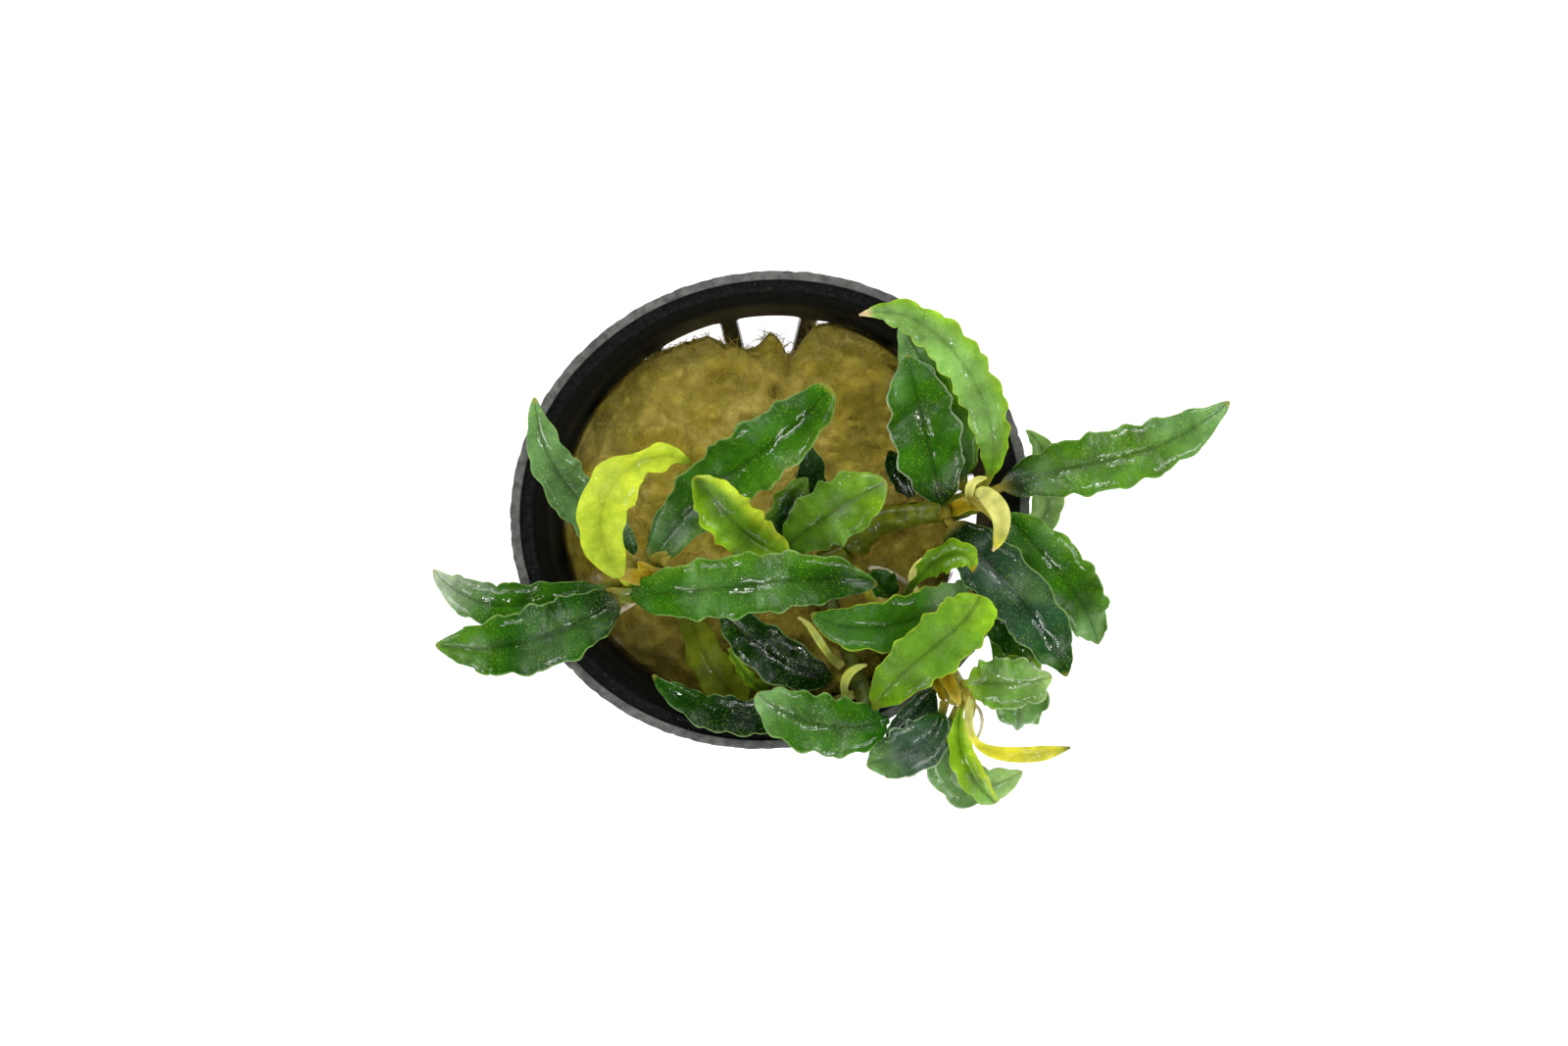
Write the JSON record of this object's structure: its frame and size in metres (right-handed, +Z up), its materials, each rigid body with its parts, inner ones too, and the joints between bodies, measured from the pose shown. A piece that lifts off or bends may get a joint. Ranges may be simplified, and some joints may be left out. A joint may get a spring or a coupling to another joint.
{
  "type": "bucephalandra plant in a net pot",
  "caption": "Creeping aquarium plant with ruffled blue-green and lime leaves on a branched rhizome, seated on rockwool in a slotted black net pot.",
  "frame": {"origin": "centre of the pot's underside, on the surface that it stands on", "axes": "+Z up, +X towards the tip of the long leaf of the right crown, +Y towards the pot's back"},
  "size_m": [0.0857, 0.0581, 0.0633],
  "materials": {
    "pot": "black moulded plastic, satin, with fine dust",
    "rockwool": "wet olive-brown mineral fibre, rough",
    "rhizome": "yellow-green fleshy stem, satin",
    "stem": "yellow-orange fleshy stem, satin",
    "leaf_dark": "dark blue-green wet leaf with fine glints",
    "leaf_green": "mid-green wet leaf with a pale margin",
    "leaf_lime": "yellow-green wet leaf",
    "leaf_olive": "old olive-yellow leaf",
    "sheath": "pale yellow sheath or rolled young leaf",
    "root": "pale bare root"
  },
  "bodies": {
    "root": {"pot": "pot", "rockwool": "rockwool", "rhizome_middle": "rhizome", "rhizome_left": "stem", "rhizome_right": "rhizome", "stem_centre": "stem", "stem_front_right": "stem", "stem_front_right_upper": "stem", "stem_front": "stem", "leaf_left_back": "leaf_dark", "leaf_left_front": "leaf_green", "leaf_centre": "leaf_dark", "leaf_back_left": "leaf_green", "leaf_young_left": "leaf_lime", "leaf_back_right": "leaf_green", "leaf_lime_centre": "leaf_lime", "leaf_green_centre": "leaf_green", "leaf_dark_centre": "leaf_dark", "leaf_low_centre": "leaf_dark", "leaf_low_right": "leaf_dark", "leaf_light_right": "leaf_lime", "leaf_front_right": "leaf_dark", "leaf_back_of_right": "leaf_green", "leaf_right": "leaf_dark", "leaf_hooked_right": "leaf_lime", "leaf_outer_right": "leaf_green", "leaf_glossy_dark": "leaf_dark", "leaf_under_right": "leaf_dark", "leaf_long_light": "leaf_lime", "leaf_curled": "leaf_lime", "leaf_low_front": "leaf_dark", "leaf_lime_front": "leaf_lime", "leaf_toothed_right": "leaf_green", "leaf_hanging": "leaf_green", "leaf_small_right": "leaf_lime", "leaf_folded": "leaf_lime", "leaf_under_left": "leaf_green", "leaf_under_front": "leaf_green", "leaf_between": "leaf_dark", "leaf_front_left": "leaf_green", "leaf_at_wall": "leaf_green", "leaf_old_olive": "leaf_olive", "leaf_dark_front": "leaf_dark", "leaf_edge_on": "leaf_lime", "sheath_right": "sheath", "young_leaf_front_right": "sheath", "sheath_front_right": "sheath", "young_leaf_front": "sheath", "sheath_front": "sheath", "root_left": "root", "root_right": "root", "root_front_right": "root"}
  },
  "joints": []
}
